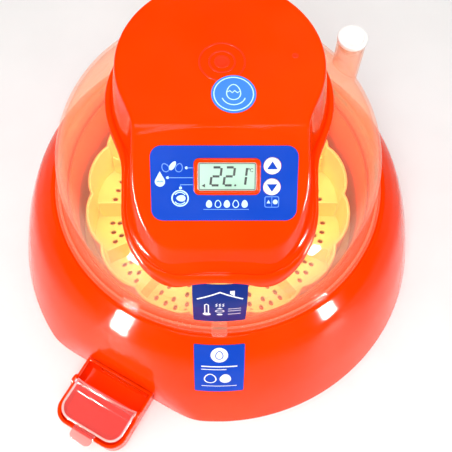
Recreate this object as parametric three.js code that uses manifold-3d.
// Round forced-air egg incubator: a flared base with a water filler, a clear bell-shaped dome and a
// control head on top. Millimetres, +Z up, front towards -Y, origin at the centre of the underside.
import * as THREE from 'three';
import { mergeVertices } from 'three/addons/utils/BufferGeometryUtils.js';
import Module from 'manifold-3d';

const wasm = await Module();
wasm.setup();

// ---------------------------------------------------------------- driving dimensions
const GAP = 0.3;                  // clearance between touching pieces
const ROUND = 40;                 // facets round a full turn
const BASE_WALL = 3;
const BASE_FOOT_Z = 0.5;
const SEAT_Z = 122.6;             // ledge that the dome's flange rests on
const SEAT_R = 148.4;
const SEAT_THICK = 3;
const MOUTH_R = 134.3;            // opening inside the ledge
const BASE_CURVE = [[194.4, 6], [188.8, 31], [180.6, 63], [169.6, 95], [160.4, 110], [151.6, 119.6]];

const PLATE_R = 190.4;
const PLATE_THICK = 2.4;
const PAD = { r: 9, ring: 165, depth: 1.4 };
const SCREW = { headR: 3.5, headH: 1.4, shankR: 1.5, hole: 1.85 };

const BASIN = { r: 133.8, wall: 2.2, bottom: 4, floor: 6.5, ledgeR: 124, ledgeZ: 40, top: 122.3 };
const ISLAND = { inner: 65, outer: 75, top: 22 };

const GRID = { r: 131.2, bottom: 40.3, thick: 2.5, hole: 2.6 };
const CELLS = 14;
const CAROUSEL = { cusp: 117, lobe: 7, wall: 2.2, bottom: 43.4, top: 90, rib: 72, hubR: 46, spoke: 2 };

const DOME_WALL = 2.4;
const DOME_CURVE = [[137, 165], [134.9, 179], [128, 195.6], [116, 206.6], [96, 221.4], [70, 235.6]];
const DOME_FOOT_R = 137;
const DOME_CROWN_Z = 240;
const DOME_MOUTH_R = 69;
const FLANGE = { r: 145, bottom: SEAT_Z + GAP, thick: 3.6 };
const LIFT_TAB = { width: 13, reach: 149, bottom: 124.2, top: 128.4 };
const PORT = { r: 11.5, bore: 9.8, ring: 122, angle: 30, top: 238, capR: 12.2, capTop: 242, plug: 8 };

const HEAD = { cy: 5, topZ: 285, tilt: 44, ridgeY: -48.5, wall: 2.6 };
const COVER_LEVELS = [
  { z: 185, r: 91.5, w: 69, front: -126, corner: 43 },
  { z: 196, r: 89.6, w: 68, front: -122, corner: 40 },
  { z: 222, r: 85.2, w: 66, front: -113, corner: 34 },
  { z: 285, r: 74.5, w: 60, front: -92, corner: 26 },
];
const TRAY_LEVELS = [
  { z: 185, r: 94.5, w: 73, front: -129.5, corner: 47 },
  { z: 250, r: 83.5, w: 71, front: -127, corner: 46 },
];
const TRAY_THICK = 5.6;
const LABEL = { width: 101.6, height: 53.7, corner: 8, x: 2.5, down: 41.1, thick: 0.5 };
const LCD = { x: 2, y: 5, width: 46, height: 26, corner: 4, glassW: 39.8, glassH: 19.8 };
const BUTTON = { x: 33, r: 5.95, ys: [12.7, -2.3], proud: 1.7, depth: 3.4 };

const FILLER = { angle: 240, flat: 180, end: 242, half: 35, wall: 2.4, bottom: 4, top: 28.6, corner: 15 };
const TUNNEL = { from: 120, half: 23.4, bottom: 7.3, top: 24.7, wall: 2.2 };
const LID = { hinge: 204.5, hingeZ: 30.4, barrelR: 2.3, pinR: 1.5, half: 31.6, end: 237.4, thick: 2, top: 29.8 };
const LID_TAB = { half: 11, reach: 250, bottom: 29, top: 31.6 };

const FAN = { r: 38, z: 213, height: 8, hubR: 8, shaftR: 2, blades: 7 };
const GUARD = { r: 62.5, width: 3.5, z: 204, thick: 2.4, bars: 8, barHalf: 0.9, hubR: 11, postR: 1.6, postTop: 235.7 };
const MOTOR = { r: 16, height: 21, bevel: 1.5 };
const HEATER = { ring: 50, r: 3, z: 227, legs: [80, 100], legR: 1.6, legTop: 236.6 };
const PROBE = { ring: 66, angle: 250, r: 2, bottom: 196, top: 235.2 };
const HEAD_SCREW = { ring: 58, angles: [15, 165, 242, 298], bottom: 234.6, length: 16, bossR: 4.2, bossTop: 284 };
const BASE_SCREW_LENGTH = 14;
const BOARD = { left: -48.5, right: 43.5, bottom: -19, top: 22, back: -8.6, front: -7 };
const GLAND = { y: 83.4, z: 262, hole: 6.3, neck: 6, flange: 8.5, bore: 3.6 };

const STICKER_HALF = 21;
const STICKER_THICK = 0.5;
const BASE_STICKER = { bottom: 66, top: 118.5 };
const DOME_STICKER = { bottom: 131, top: 190 };
const BADGE = { r: 15.6, x: 9, y: -24 };

// ---------------------------------------------------------------- solids and booleans
const turn = (degrees) => THREE.MathUtils.degToRad(degrees);

// A geometry as a manifold solid: welded, without slivers on the axis, faces outwards.
function solid(geometry) {
  const bare = geometry.clone();
  bare.deleteAttribute('normal');
  bare.deleteAttribute('uv');
  const welded = mergeVertices(bare, 1e-4);
  const at = welded.getAttribute('position');
  const faces = [];
  let volume = 0;
  const [a, b, c] = [new THREE.Vector3(), new THREE.Vector3(), new THREE.Vector3()];
  for (let i = 0; i < welded.index.count; i += 3) {
    const [p, q, r] = [0, 1, 2].map((k) => welded.index.getX(i + k));
    if (p === q || q === r || r === p) continue;
    faces.push(p, q, r);
    a.fromBufferAttribute(at, p);
    b.fromBufferAttribute(at, q);
    c.fromBufferAttribute(at, r);
    volume += a.dot(b.cross(c));
  }
  if (volume < 0) {
    for (let i = 0; i < faces.length; i += 3) [faces[i], faces[i + 1]] = [faces[i + 1], faces[i]];
  }
  const mesh = new wasm.Mesh({
    numProp: 3,
    vertProperties: new Float32Array(at.array),
    triVerts: new Uint32Array(faces),
  });
  return new wasm.Manifold(mesh);
}

function geometryOf(body) {
  const mesh = body.getMesh();
  const geometry = new THREE.BufferGeometry();
  geometry.setAttribute('position', new THREE.BufferAttribute(new Float32Array(mesh.vertProperties), 3));
  geometry.setIndex(new THREE.BufferAttribute(new Uint32Array(mesh.triVerts), 1));
  geometry.computeVertexNormals();
  return geometry;
}

// A profile of [radius, height] points turned about +Z.
function lathe(points, segments = ROUND) {
  const profile = points.map(([r, z]) => new THREE.Vector2(r, z));
  return solid(new THREE.LatheGeometry(profile, segments).rotateX(Math.PI / 2));
}

// A closed ring profile: the last point returns to the first.
const ring = (points, segments = ROUND) => lathe([...points, points[0]], segments);

const disc = (r, bottom, top, segments = ROUND) => lathe([[0, bottom], [r, bottom], [r, top], [0, top]], segments);

function smooth(points, count) {
  const curve = new THREE.SplineCurve(points.map(([r, z]) => new THREE.Vector2(r, z)));
  return curve.getPoints(count).map((p) => [p.x, p.y]);
}

function box(x0, x1, y0, y1, z0, z1) {
  const shape = new THREE.BoxGeometry(x1 - x0, y1 - y0, z1 - z0);
  return shape.translate((x0 + x1) / 2, (y0 + y1) / 2, (z0 + z1) / 2);
}

function roundedRect(width, height, corner, x = 0, y = 0) {
  const [w, h] = [width / 2, height / 2];
  const shape = new THREE.Shape();
  shape.moveTo(x - w + corner, y - h);
  shape.lineTo(x + w - corner, y - h);
  shape.absarc(x + w - corner, y - h + corner, corner, -Math.PI / 2, 0);
  shape.lineTo(x + w, y + h - corner);
  shape.absarc(x + w - corner, y + h - corner, corner, 0, Math.PI / 2);
  shape.lineTo(x - w + corner, y + h);
  shape.absarc(x - w + corner, y + h - corner, corner, Math.PI / 2, Math.PI);
  shape.lineTo(x - w, y - h + corner);
  shape.absarc(x - w + corner, y - h + corner, corner, Math.PI, 1.5 * Math.PI);
  return shape;
}

function plate(shape, bottom, top, curveSegments = 4) {
  const options = { depth: top - bottom, bevelEnabled: false, curveSegments };
  return new THREE.ExtrudeGeometry(shape, options).translate(0, 0, bottom);
}

// A cylinder between two heights, standing at x, y.
function post(r, bottom, top, x = 0, y = 0, segments = 12) {
  const shape = new THREE.CylinderGeometry(r, r, top - bottom, segments).rotateX(Math.PI / 2);
  return shape.translate(x, y, (bottom + top) / 2);
}

const around = (radius, degrees) => [radius * Math.cos(turn(degrees)), radius * Math.sin(turn(degrees))];

// ---------------------------------------------------------------- scene graph
const incubator = new THREE.Group();
incubator.name = 'egg_incubator';

const finish = {
  orange: { color: 0xf8430c, roughness: 0.28 },
  clear: { color: 0xf4e6dc, roughness: 0.06, transparent: true, opacity: 0.35 },
  cream: { color: 0xffe68c, roughness: 0.45 },
  blue: { color: 0x0b46c8, roughness: 0.4 },
  white: { color: 0xf4f4f2, roughness: 0.4 },
  lcd: { color: 0xb9c4b0, roughness: 0.2 },
  dark: { color: 0x2a2a2c, roughness: 0.6 },
  steel: { color: 0xb8bcc0, roughness: 0.35, metalness: 1 },
  board: { color: 0x1f6b3a, roughness: 0.5 },
  rubber: { color: 0x1c1c1d, roughness: 0.85 },
};

function add(name, body, look, parent = incubator) {
  const geometry = body.isBufferGeometry ? body : geometryOf(body);
  const mesh = new THREE.Mesh(geometry, new THREE.MeshStandardMaterial(finish[look]));
  mesh.name = name;
  parent.add(mesh);
}

// ---------------------------------------------------------------- base
const fillerTurn = turn(FILLER.angle);
// Filler pieces are drawn with +X pointing out of the base, then turned to the filler's direction.
const towardsFiller = (geometry) => solid(geometry.rotateZ(fillerTurn));
const beyondFlat = (distance) => towardsFiller(box(distance, 300, -120, 120, -10, 140));

function baseShell() {
  const side = smooth(BASE_CURVE, 7);
  const outer = lathe([[0, BASE_FOOT_Z], [191.8, BASE_FOOT_Z], [193.7, 2], ...side,
    [SEAT_R, SEAT_Z], [0, SEAT_Z]]);
  const within = side.slice(0, -2).map(([r, z]) => [r - BASE_WALL, z - 1]);
  const inner = lathe([[0, -5], [190.9, -5], ...within, [149, SEAT_Z - SEAT_THICK],
    [MOUTH_R, SEAT_Z - SEAT_THICK], [MOUTH_R, 130], [0, 130]]);
  const window = towardsFiller(box(170, 190, -TUNNEL.half - GAP, TUNNEL.half + GAP,
    TUNNEL.bottom - GAP, TUNNEL.top + GAP));
  const shell = outer.subtract(beyondFlat(FILLER.flat));
  return shell.subtract(inner.subtract(beyondFlat(FILLER.flat - BASE_WALL))).subtract(window);
}

const padSpots = [45, 135, 225, 315].map((angle) => around(PAD.ring, angle));
const baseScrewSpots = [0, 90, 180, 270].map((angle) => around((ISLAND.inner + ISLAND.outer) / 2, angle));

function bottomPlate() {
  let body = disc(PLATE_R, 0, PLATE_THICK).subtract(beyondFlat(FILLER.flat - BASE_WALL - GAP));
  for (const [x, y] of padSpots) body = body.subtract(solid(post(PAD.r + GAP, -1, PAD.depth + GAP, x, y, 16)));
  for (const [x, y] of baseScrewSpots) {
    body = body.subtract(solid(post(SCREW.hole, -1, 5, x, y, 8)));
    body = body.subtract(solid(post(SCREW.headR + GAP, -1, SCREW.headH + GAP, x, y, 12)));
  }
  return body;
}

// The basin is three plain solids, so that collision stays open in its water channels.
function innerBasin() {
  const b = BASIN;
  const body = ring([[b.ledgeR, b.floor + GAP], [b.r - 1, b.floor + GAP], [b.r, b.floor + GAP + 1], [b.r, b.top],
    [b.r - b.wall, b.top], [b.r - b.wall, b.ledgeZ], [b.ledgeR, b.ledgeZ]]);
  return body.subtract(towardsFiller(box(110, 150, -TUNNEL.half - GAP, TUNNEL.half + GAP, 0, TUNNEL.top + GAP)));
}

function withScrewHoles(body) {
  const holes = baseScrewSpots.map(([x, y]) => solid(post(SCREW.hole, 0, 17, x, y, 8)));
  return holes.reduce((left, hole) => left.subtract(hole), body);
}

const basinFloor = () => withScrewHoles(disc(BASIN.r - 3, BASIN.bottom, BASIN.floor));

function basinIsland() {
  const { inner, outer, top } = ISLAND;
  const bottom = BASIN.floor + GAP;
  return withScrewHoles(ring([[inner, bottom], [outer, bottom], [outer, top], [inner, top]]));
}

function screw(x, y, bottom, length) {
  const { headR, headH, shankR } = SCREW;
  const body = lathe([[0, bottom], [headR, bottom], [headR, bottom + headH], [shankR, bottom + headH],
    [shankR, bottom + length - 1], [0, bottom + length]], 8);
  return body.translate([x, y, 0]);
}

// Perforated floor: two arcs of round holes in every cell.
function floorGrid() {
  const rim = new THREE.Path().absarc(0, 0, GRID.r, 0, 2 * Math.PI).getPoints(ROUND / 2).slice(0, -1);
  const shape = new THREE.Shape(rim);
  const arcs = [{ r: 102, count: 2, spread: 9 }];
  for (let cell = 0; cell < CELLS; cell += 1) {
    const middle = -90 + (cell * 360) / CELLS;
    for (const { r, count, spread } of arcs) {
      for (let i = 0; i < count; i += 1) {
        const [x, y] = around(r, middle + (i - (count - 1) / 2) * spread);
        shape.holes.push(new THREE.Path().absarc(x, y, GRID.hole, 0, 2 * Math.PI, true));
      }
    }
  }
  return solid(plate(shape, GRID.bottom, GRID.bottom + GRID.thick, 3));
}

// Scalloped rim: one outward lobe per egg cell, cusps between the cells.
function scallop(inset) {
  const points = [];
  const steps = CELLS * 6;
  for (let i = 0; i < steps; i += 1) {
    const angle = (i / steps) * 2 * Math.PI;
    const lobe = Math.abs(Math.cos((CELLS / 2) * (angle + Math.PI / 2)));
    const r = CAROUSEL.cusp + CAROUSEL.lobe * Math.sqrt(lobe) - inset;
    points.push(new THREE.Vector2(r * Math.cos(angle), r * Math.sin(angle)));
  }
  return points;
}

function carouselRim() {
  const shape = new THREE.Shape(scallop(0));
  shape.holes.push(new THREE.Path(scallop(CAROUSEL.wall)));
  return solid(plate(shape, CAROUSEL.bottom, CAROUSEL.top));
}

function carouselHub() {
  const { hubR, wall, bottom, rib } = CAROUSEL;
  return ring([[hubR, bottom], [hubR + wall, bottom], [hubR + wall, rib], [hubR, rib]], 28);
}

function eggDivider(index) {
  const { hubR, wall, bottom, rib, cusp, spoke } = CAROUSEL;
  const blade = box(hubR + wall + GAP, cusp - wall - GAP, -spoke / 2, spoke / 2, bottom, rib);
  return blade.rotateZ(turn(-90 + ((index + 0.5) * 360) / CELLS));
}

// ---------------------------------------------------------------- water filler
function frontRounded(from, end, half, corner) {
  const shape = new THREE.Shape();
  shape.moveTo(from, -half);
  shape.lineTo(end - corner, -half);
  shape.absarc(end - corner, -half + corner, corner, -Math.PI / 2, 0);
  shape.absarc(end - corner, half - corner, corner, 0, Math.PI / 2);
  shape.lineTo(from, half);
  return shape;
}

const along = (r, v0, v1, segments) => new THREE.CylinderGeometry(r, r, v1 - v0, segments)
  .translate(0, (v0 + v1) / 2, 0).translate(LID.hinge, 0, LID.hingeZ);

function fillerTrough() {
  const f = FILLER;
  const start = f.flat + GAP;
  let body = solid(plate(frontRounded(start, f.end, f.half, f.corner), f.bottom, f.top));
  const ear = along(5, f.half - f.wall, f.half, 14);
  body = body.add(solid(ear)).add(solid(ear.clone().translate(0, -2 * f.half + f.wall, 0)));
  body = body.add(solid(box(TUNNEL.from, start + 1, -TUNNEL.half, TUNNEL.half, TUNNEL.bottom, TUNNEL.top)));
  body = body.subtract(solid(plate(frontRounded(start + f.wall, f.end - f.wall, f.half - f.wall,
    f.corner - f.wall), f.bottom + f.wall, 60)));
  const bore = TUNNEL.half - TUNNEL.wall;
  body = body.subtract(solid(box(TUNNEL.from - 1, start + 4, -bore, bore,
    TUNNEL.bottom + TUNNEL.wall, TUNNEL.top - TUNNEL.wall)));
  body = body.subtract(solid(along(LID.pinR + GAP, -60, 60, 8)));
  return body.rotate([0, 0, f.angle]);
}

function fillerLid() {
  const inner = LID.hinge - 3;
  let body = solid(plate(frontRounded(inner, LID.end, LID.half, 12.4), LID.top - LID.thick, LID.top));
  body = body.add(solid(along(LID.barrelR, -LID.half, LID.half, 10)));
  body = body.add(solid(along(LID.pinR, -FILLER.half, FILLER.half, 8)));
  const tab = frontRounded(LID.end - 6, LID_TAB.reach, LID_TAB.half, 5);
  body = body.add(solid(plate(tab, LID_TAB.bottom, LID_TAB.top)));
  return body.rotate([0, 0, FILLER.angle]);
}

// ---------------------------------------------------------------- dome
// The dome's outer face as a full solid, grown by an offset along its normal.
function domeEnvelope(offset, foot) {
  const crown = smooth([...DOME_CURVE, [36, 239.2]], 9);
  const grown = crown.map(([r, z], i) => {
    const [before, after] = [crown[Math.max(i - 1, 0)], crown[Math.min(i + 1, crown.length - 1)]];
    const [dr, dz] = [after[0] - before[0], after[1] - before[1]];
    const length = Math.hypot(dr, dz);
    return [r + (offset * dz) / length, z - (offset * dr) / length];
  });
  return lathe([[0, foot], [DOME_FOOT_R + offset, foot], ...grown, [0, DOME_CROWN_Z + offset]]);
}

const portSpot = around(PORT.ring, PORT.angle);

function dome() {
  const f = FLANGE;
  const top = f.bottom + f.thick;
  let body = domeEnvelope(0, f.bottom);
  body = body.add(lathe([[0, f.bottom], [f.r, f.bottom], [f.r, top], [DOME_FOOT_R + 1.6, top + 0.8],
    [0, top + 0.8]]));
  body = body.add(solid(box(-LIFT_TAB.width / 2, LIFT_TAB.width / 2, -LIFT_TAB.reach, -f.r + 5,
    LIFT_TAB.bottom, LIFT_TAB.top)));
  body = body.subtract(domeEnvelope(-DOME_WALL, 100));
  body = body.subtract(solid(post(PORT.r + GAP, 180, 260, ...portSpot, 20)));
  return body.subtract(disc(DOME_MOUTH_R, 200, 260));
}

function portTube() {
  const body = solid(post(PORT.r, 180, PORT.top, ...portSpot, 20));
  return body.subtract(domeEnvelope(-DOME_WALL, 100)).subtract(solid(post(PORT.bore, 170, 260, ...portSpot, 20)));
}

function portCap() {
  const { bore, top, capR, capTop, plug } = PORT;
  const body = lathe([[0, top - plug], [bore - GAP, top - plug], [bore - GAP, top + GAP],
    [capR, top + GAP], [capR, capTop - 1], [capR - 1, capTop], [0, capTop]], 20);
  return body.translate([...portSpot, 0]);
}

// ---------------------------------------------------------------- control head
// Plan outline: a circle at the back that runs into a straight-sided box with rounded front corners.
function headOutline({ r, w, front, corner }, inset) {
  const [R, W, F, C] = [r - inset, w - inset, front + inset, corner - inset];
  const shoulder = HEAD.cy - Math.sqrt(R * R - W * W);
  const start = Math.atan2(shoulder - HEAD.cy, W);
  const points = [];
  const arc = (cx, cy, radius, from, to, steps) => {
    for (let i = 0; i <= steps; i += 1) {
      const a = from + ((to - from) * i) / steps;
      points.push([cx + radius * Math.cos(a), cy + radius * Math.sin(a)]);
    }
  };
  arc(0, HEAD.cy, R, start, Math.PI - start, 24);
  arc(-W + C, F + C, C, Math.PI, 1.5 * Math.PI, 6);
  arc(W - C, F + C, C, -Math.PI / 2, 0, 6);
  return points;
}

function loft(levels, inset = 0) {
  const rings = levels.map((level) => headOutline(level, inset).map(([x, y]) => [x, y, level.z]));
  const count = rings[0].length;
  const positions = rings.flat(2);
  const index = [];
  for (let level = 0; level < rings.length - 1; level += 1) {
    for (let i = 0; i < count; i += 1) {
      const [a, b] = [level * count + i, level * count + ((i + 1) % count)];
      index.push(a, b, b + count, a, b + count, a + count);
    }
  }
  const outline = rings[0].map(([x, y]) => new THREE.Vector2(x, y));
  const last = (rings.length - 1) * count;
  for (const [a, b, c] of THREE.ShapeUtils.triangulateShape(outline, [])) {
    index.push(c, b, a, a + last, b + last, c + last);
  }
  const geometry = new THREE.BufferGeometry();
  geometry.setAttribute('position', new THREE.Float32BufferAttribute(positions, 3));
  geometry.setIndex(index);
  return solid(geometry);
}

// Moves a geometry from panel coordinates (x across, y up the slope, z out of the panel, origin at
// the label's centre) to the sloping control panel.
const slope = turn(HEAD.tilt);
const panelCentre = [
  LABEL.x,
  HEAD.ridgeY - LABEL.down * Math.cos(slope),
  HEAD.topZ - LABEL.down * Math.sin(slope),
];
const ontoPanel = (geometry) => solid(geometry.rotateX(slope).translate(...panelCentre));
const abovePanel = (height) => ontoPanel(box(-150, 150, -200, 200, height, 300));

const headScrewSpots = HEAD_SCREW.angles.map((angle) => around(HEAD_SCREW.ring, angle));
const lcdWindow = (grow) => roundedRect(LCD.glassW + grow, LCD.glassH + grow, 1.5, LCD.x, LCD.y);

function headCover() {
  const above = abovePanel(0);
  const outer = loft(COVER_LEVELS).subtract(above);
  const roof = box(-100, 100, -200, 200, HEAD.topZ - HEAD.wall, 300);
  const hollow = loft(COVER_LEVELS, HEAD.wall).subtract(abovePanel(-HEAD.wall)).subtract(solid(roof));
  const seat = domeEnvelope(TRAY_THICK + GAP, 100);
  let body = outer.subtract(hollow);
  for (const [x, y] of headScrewSpots) {
    body = body.add(solid(post(HEAD_SCREW.bossR, 190, HEAD_SCREW.bossTop, x, y)).intersect(outer));
  }
  body = body.subtract(seat);
  for (const [x, y] of headScrewSpots) {
    body = body.subtract(solid(post(SCREW.hole, 190, HEAD_SCREW.bottom + HEAD_SCREW.length + 1, x, y, 8)));
  }
  body = body.subtract(ontoPanel(plate(lcdWindow(0.6), -6, 3)));
  for (const y of BUTTON.ys) {
    body = body.subtract(ontoPanel(post(BUTTON.r + GAP, -6, 3, BUTTON.x, y, 20)));
  }
  const hole = new THREE.CylinderGeometry(GLAND.hole, GLAND.hole, 30, 16).translate(0, GLAND.y, GLAND.z);
  return body.subtract(solid(hole));
}

function headTray() {
  let body = loft(TRAY_LEVELS).intersect(domeEnvelope(TRAY_THICK, 100)).subtract(domeEnvelope(GAP, 90));
  for (const [x, y] of headScrewSpots) body = body.subtract(solid(post(SCREW.hole, 180, 260, x, y, 8)));
  return body.subtract(disc(FAN.shaftR + 2, 200, 260, 12));
}

function controlLabel() {
  const shape = roundedRect(LABEL.width, LABEL.height, LABEL.corner);
  let body = ontoPanel(plate(shape, GAP, GAP + LABEL.thick));
  const bezelHole = roundedRect(LCD.width + 0.6, LCD.height + 0.6, LCD.corner, LCD.x, LCD.y);
  body = body.subtract(ontoPanel(plate(bezelHole, -3, 3)));
  for (const y of BUTTON.ys) body = body.subtract(ontoPanel(post(BUTTON.r + GAP, -3, 3, BUTTON.x, y, 20)));
  return body;
}

function lcdBezel() {
  const shape = roundedRect(LCD.width, LCD.height, LCD.corner, LCD.x, LCD.y);
  return ontoPanel(plate(shape, GAP, 1.9)).subtract(ontoPanel(plate(lcdWindow(0.6), -3, 5)));
}

function cableGland() {
  const { bore, neck, flange } = GLAND;
  const body = ring([[bore, -9], [neck, -9], [neck, 1.2], [flange, 1.2], [flange, 3.6], [6.2, 4.4],
    [5.2, 12], [bore, 12]], 16);
  return body.rotate([-90, 0, 0]).translate([0, GLAND.y + GAP + 0.1, GLAND.z]);
}

// ---------------------------------------------------------------- air system under the head
function fanImpeller() {
  const { r, z, height, hubR, shaftR, blades } = FAN;
  let body = ring([[shaftR + GAP, z], [hubR, z], [hubR, z + height], [shaftR + GAP, z + height]], 20);
  for (let i = 0; i < blades; i += 1) {
    const blade = box(hubR - 1.5, r, -0.8, 0.8, -height / 2 + 0.6, height / 2 - 0.6);
    blade.rotateX(turn(28)).translate(0, 0, z + height / 2).rotateZ(turn((i * 360) / blades));
    body = body.add(solid(blade));
  }
  return body;
}

function fanMotor() {
  const trayTop = DOME_CROWN_Z + TRAY_THICK + GAP;
  const { r, height, bevel } = MOTOR;
  return lathe([[0, FAN.z - 1.5], [FAN.shaftR, FAN.z - 1.5], [FAN.shaftR, trayTop], [r, trayTop],
    [r, trayTop + height - 2], [r - bevel, trayTop + height], [0, trayTop + height]], 20);
}

function fanGuard() {
  const { r, width, z, thick, bars, barHalf, hubR, postR, postTop } = GUARD;
  let body = ring([[r - width, z], [r, z], [r, z + thick], [r - width, z + thick]], 32);
  body = body.add(disc(hubR, z, z + thick, 16));
  for (let i = 0; i < bars; i += 1) {
    const bar = box(hubR - 3, r - 1, -barHalf, barHalf, z + 0.2, z + thick - 0.2);
    body = body.add(solid(bar.rotateZ(turn(((i + 0.5) * 360) / bars))));
  }
  for (const angle of [45, 135, 225, 315]) {
    const [x, y] = around(r - width / 2, angle);
    body = body.add(solid(post(postR, z + 0.5, postTop, x, y, 8)));
  }
  return body;
}

function heaterRing() {
  const { ring: coilR, r, z, legs, legR, legTop } = HEATER;
  let body = solid(new THREE.TorusGeometry(coilR, r, 6, 24).translate(0, 0, z));
  for (const angle of legs) body = body.add(solid(post(legR, z, legTop, ...around(coilR, angle), 8)));
  return body;
}

function temperatureProbe() {
  const { r, bottom, top } = PROBE;
  const body = lathe([[0, bottom], [r - 0.6, bottom + 0.6], [r, bottom + 2], [r, top], [0, top]], 10);
  return body.translate([...around(PROBE.ring, PROBE.angle), 0]);
}

// ---------------------------------------------------------------- stickers
// A sticker wrapped on a wall: the wall's skin between two offsets, cut to the sticker's outline.
function wrapped(skin, { bottom, top }) {
  return skin.intersect(solid(box(-STICKER_HALF, STICKER_HALF, -220, -60, bottom, top)));
}

function baseSkin() {
  const side = smooth(BASE_CURVE, 7);
  const grown = (offset) => lathe([[0, -20], [200, -20], ...side.map(([r, z]) => [r + offset, z]), [0, 119.6]]);
  return grown(GAP + STICKER_THICK + 0.1).subtract(grown(GAP));
}

const domeSkin = () => domeEnvelope(GAP + STICKER_THICK, 100).subtract(domeEnvelope(GAP, 90));

add('base_shell', baseShell(), 'orange');
add('bottom_plate', bottomPlate(), 'dark');
add('inner_basin', innerBasin(), 'orange');
add('basin_floor', basinFloor(), 'orange');
add('basin_island', basinIsland(), 'orange');
add('floor_grid', floorGrid(), 'cream');
add('carousel_rim', carouselRim(), 'cream');
add('carousel_hub', carouselHub(), 'cream');
for (let i = 0; i < CELLS; i += 1) add(`egg_divider_${i + 1}`, eggDivider(i), 'cream');
add('filler_trough', fillerTrough(), 'orange');
add('filler_lid', fillerLid(), 'clear');
add('base_label', wrapped(baseSkin(), BASE_STICKER), 'blue');
padSpots.forEach(([x, y], i) => add(`grip_pad_${i + 1}`, post(PAD.r, 0, PAD.depth, x, y, 16), 'rubber'));
baseScrewSpots.forEach(([x, y], i) => add(`base_screw_${i + 1}`, screw(x, y, GAP, BASE_SCREW_LENGTH), 'steel'));

add('dome', dome(), 'clear');
add('port_tube', portTube(), 'clear');
add('dome_label', wrapped(domeSkin(), DOME_STICKER), 'blue');
add('port_cap', portCap(), 'white');
add('head_tray', headTray(), 'orange');
add('head_cover', headCover(), 'orange');
add('control_label', controlLabel(), 'blue');
add('lcd_bezel', lcdBezel(), 'orange');
add('lcd_display', ontoPanel(plate(lcdWindow(0), -3.5, 1.1)), 'lcd');
BUTTON.ys.forEach((y, i) => {
  const button = ontoPanel(post(BUTTON.r, -BUTTON.depth, BUTTON.proud, BUTTON.x, y, 20));
  add(['button_up', 'button_down'][i], button, 'white');
});
const badgeTop = HEAD.topZ + GAP + STICKER_THICK;
add('top_badge', post(BADGE.r, HEAD.topZ + GAP, badgeTop, BADGE.x, BADGE.y, 24), 'blue');
const board = box(BOARD.left, BOARD.right, BOARD.bottom, BOARD.top, BOARD.back, BOARD.front);
add('circuit_board', ontoPanel(board), 'board');
headScrewSpots.forEach(([x, y], i) => {
  add(`head_screw_${i + 1}`, screw(x, y, HEAD_SCREW.bottom, HEAD_SCREW.length), 'steel');
});
add('cable_gland', cableGland(), 'rubber');
add('fan_motor', fanMotor(), 'steel');
add('fan_impeller', fanImpeller(), 'dark');
add('fan_guard', fanGuard(), 'dark');
add('heater_ring', heaterRing(), 'steel');
add('temperature_probe', temperatureProbe(), 'steel');

export default incubator;
